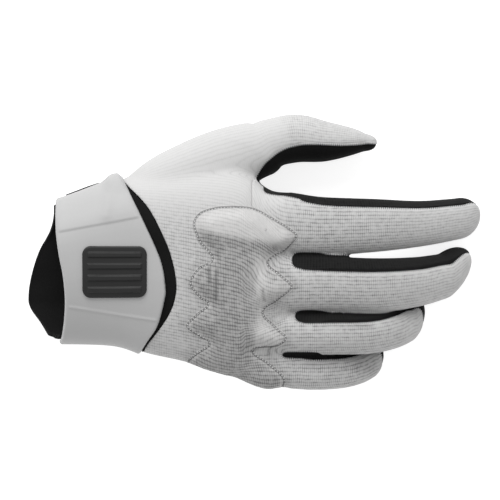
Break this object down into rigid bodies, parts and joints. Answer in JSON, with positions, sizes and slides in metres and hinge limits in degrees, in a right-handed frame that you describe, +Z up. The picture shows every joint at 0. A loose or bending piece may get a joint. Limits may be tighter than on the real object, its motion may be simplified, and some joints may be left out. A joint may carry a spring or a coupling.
{
  "type": "motocross glove",
  "caption": "Right-hand off-road riding glove lying on its palm: knit back, padded knuckles, hollow fingers and thumb, open cuff with a wrist strap and rubber patch.",
  "frame": {"origin": "middle of the glove's footprint, at table height", "axes": "+X from the cuff to the fingertips, +Y towards the thumb, +Z up out of the back of the hand"},
  "size_m": [0.2178, 0.1328, 0.0486],
  "materials": {
    "knit": "light grey ribbed stretch knit",
    "side_knit": "black stretch knit",
    "suede": "black synthetic suede",
    "neoprene": "black foam-backed knit",
    "strap_skin": "light grey smooth matt skin",
    "patch_rubber": "charcoal moulded rubber"
  },
  "bodies": {
    "root": {"index_side_strip": "side_knit", "index_middle_gusset": "side_knit", "middle_ring_gusset": "side_knit", "ring_little_gusset": "side_knit", "index_back": "knit", "middle_back": "knit", "ring_back": "knit", "little_back": "knit", "index_front": "suede", "middle_front": "suede", "ring_front": "suede", "little_front": "suede", "hand_back": "knit", "thumb_palm": "suede", "palm": "suede", "cuff": "neoprene", "wrist_strap": "strap_skin", "strap_patch": "patch_rubber", "knuckle_pad": "knit"}
  },
  "joints": []
}
